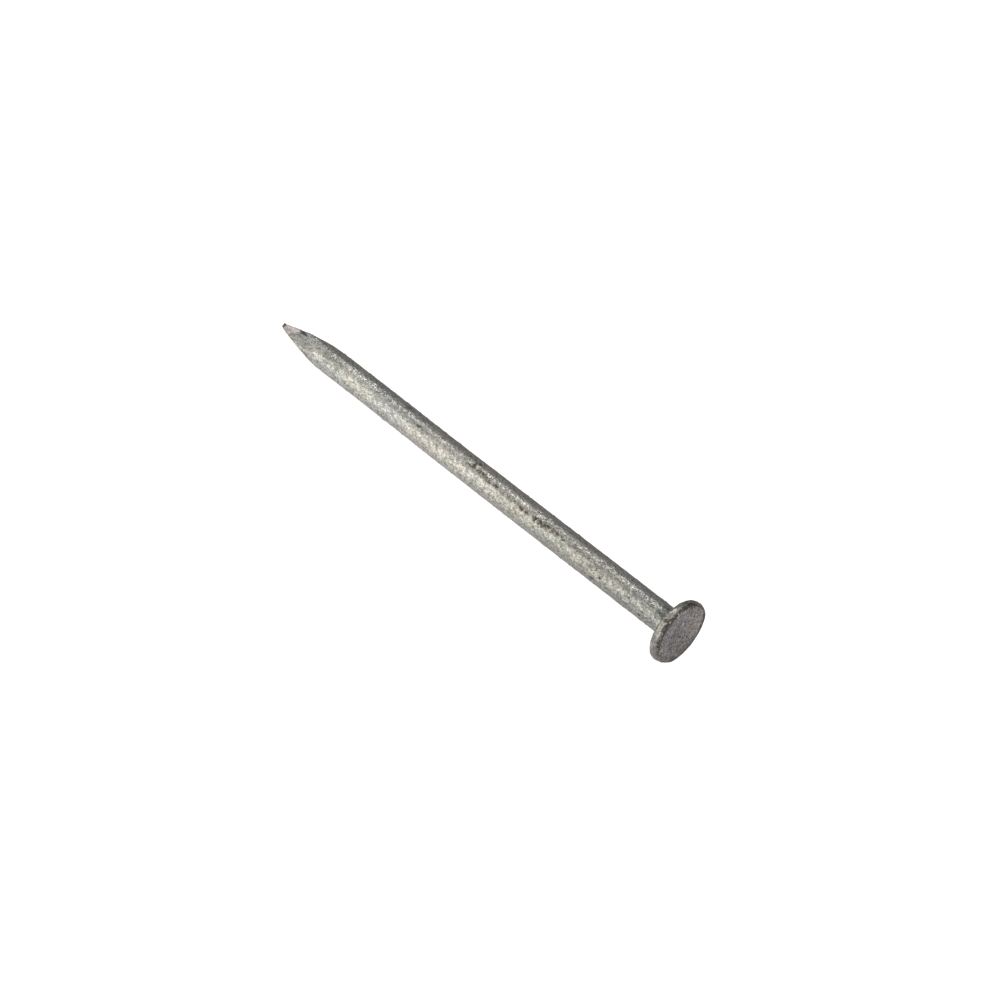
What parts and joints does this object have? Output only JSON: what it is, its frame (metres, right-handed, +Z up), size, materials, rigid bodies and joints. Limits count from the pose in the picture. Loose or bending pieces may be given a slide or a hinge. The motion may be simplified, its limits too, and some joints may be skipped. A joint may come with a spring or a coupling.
{
  "type": "galvanised round wire nail",
  "caption": "Hot-dip galvanised round wire nail with a flat round head and a diamond point, for fastening timber outdoors.",
  "frame": {"origin": "on the nail's axis, in the plane of the underside of the coated head, where the head stops against the timber", "axes": "+X along the nail's axis from the point towards the head, +Z up as the nail is held level"},
  "size_m": [0.0766, 0.0092, 0.0091],
  "materials": {
    "bare_steel": "bare drawn wire, lightly rusted where the zinc is missing at the point",
    "zinc": "dull hot-dip galvanised zinc, mottled grey, a little lumpy"
  },
  "bodies": {
    "root": {"steel_nail": "bare_steel", "galvanised_coat": "zinc"}
  },
  "joints": []
}
